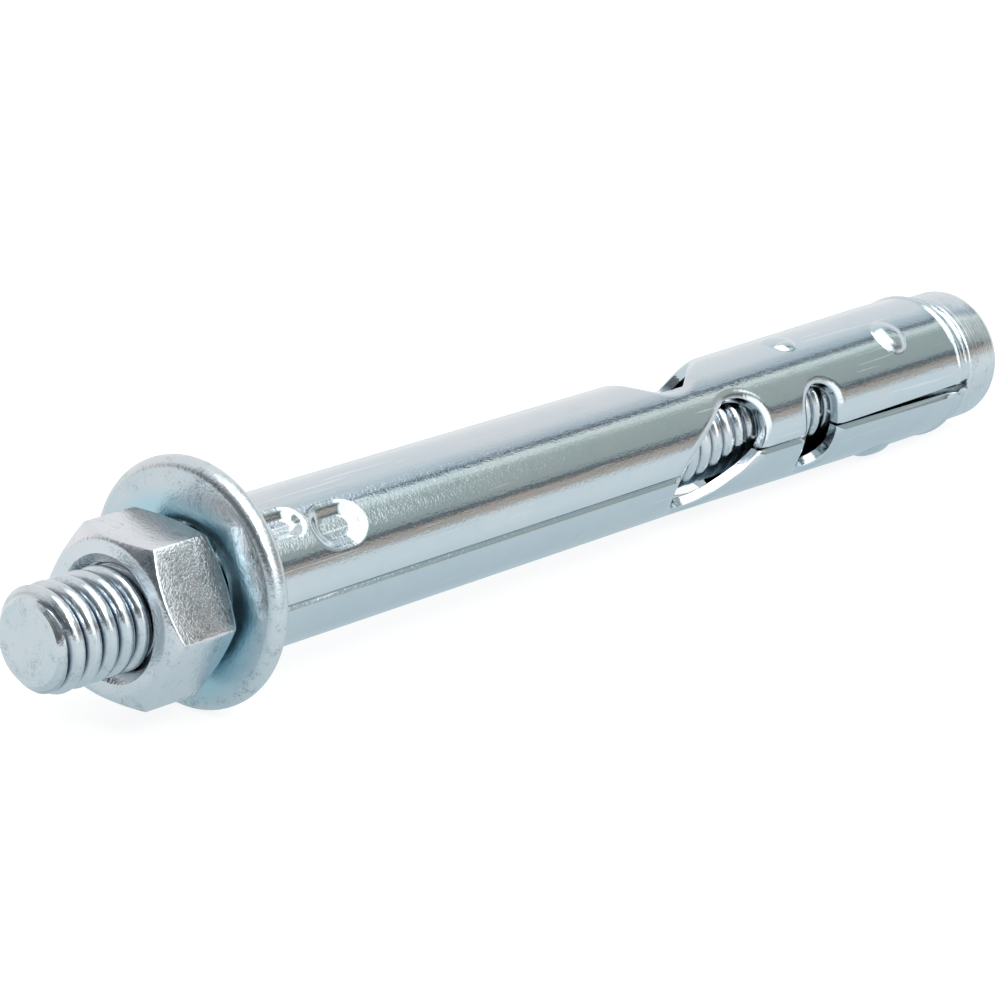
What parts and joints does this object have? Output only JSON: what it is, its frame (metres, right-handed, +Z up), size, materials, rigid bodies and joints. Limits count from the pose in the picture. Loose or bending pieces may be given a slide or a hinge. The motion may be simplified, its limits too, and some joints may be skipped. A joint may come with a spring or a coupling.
{
  "type": "sleeve anchor",
  "caption": "Zinc-plated sleeve anchor lying on its side, with hex nut, washer, slotted windowed sleeve with pressed bumps, and cone end.",
  "frame": {"origin": "on the anchor's axis at the washer's bearing face, where the sleeve begins", "axes": "+X along the anchor from the washer towards its cone end, +Z up as it lies, the sleeve's seam on the -Y side"},
  "size_m": [0.1146, 0.0194, 0.0194],
  "materials": {
    "stud_zinc": "bright zinc plating on cold-formed steel, satin",
    "sleeve_zinc": "bright blue-white zinc plating on rolled sheet, glossy with fine scratches along its length",
    "washer_zinc": "bright zinc plating, satin and slightly speckled",
    "nut_zinc": "bright zinc plating, satin and slightly speckled"
  },
  "bodies": {
    "anchor": {"stud": "stud_zinc", "sleeve": "sleeve_zinc"},
    "washer": {"washer": "washer_zinc"},
    "nut": {"nut": "nut_zinc"}
  },
  "joints": [
    {"name": "washer_slide", "type": "slide", "parent": "anchor", "child": "washer", "axis": [-1, 0, 0], "range_m": [0, 0.0064]},
    {"name": "nut_spin", "type": "hinge", "parent": "washer", "child": "nut", "pos_m": [-0.006, 0, 0], "axis": [-1, 0, 0], "range_deg": [0, 1441]}
  ],
  "couplings": [
    {"joint": "nut_spin", "follows": "washer_slide", "rad_per_m": 3927}
  ]
}
